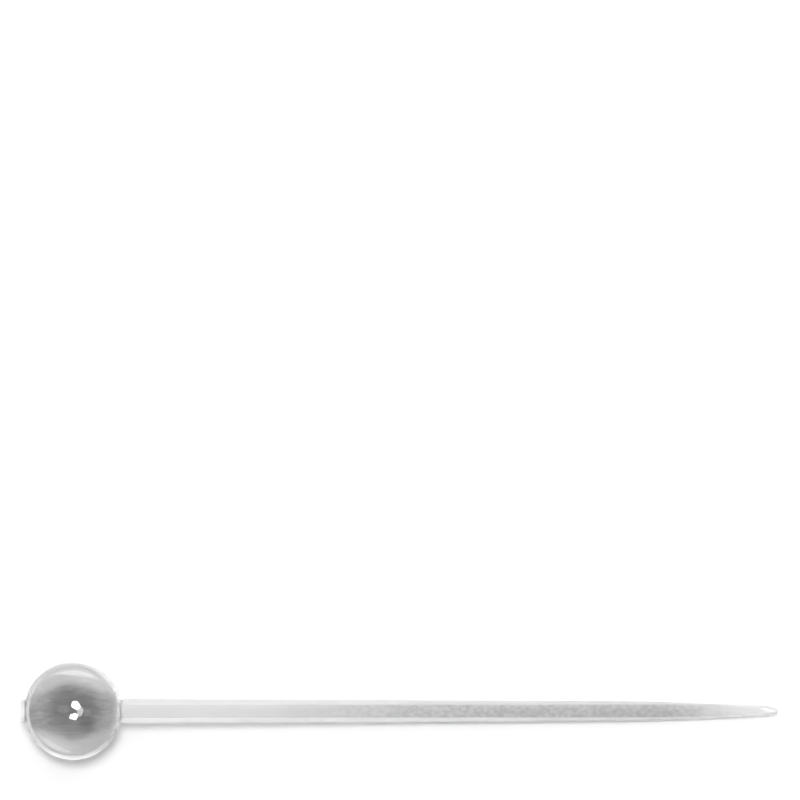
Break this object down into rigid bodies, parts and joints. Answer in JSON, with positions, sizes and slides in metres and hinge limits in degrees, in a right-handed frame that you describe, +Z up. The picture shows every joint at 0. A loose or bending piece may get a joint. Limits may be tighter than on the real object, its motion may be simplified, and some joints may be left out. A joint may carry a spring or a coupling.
{
  "type": "curtain pin",
  "caption": "Clear moulded pin with a flattened round head and a flat-sided, tapering shank, pushed through cloth to pin or shorten a curtain.",
  "frame": {"origin": "middle of the bounding box on the surface that the pin lies on", "axes": "+X along the pin from the head to the tip, +Z up, with the head's flatter faces and the shank's flat faces turned up and down"},
  "size_m": [0.0502, 0.0064, 0.0033],
  "materials": {
    "clear_plastic": "clear, colourless moulded plastic with a gloss surface and faint flow marks"
  },
  "bodies": {
    "root": {"curtain_pin": "clear_plastic"}
  },
  "joints": []
}
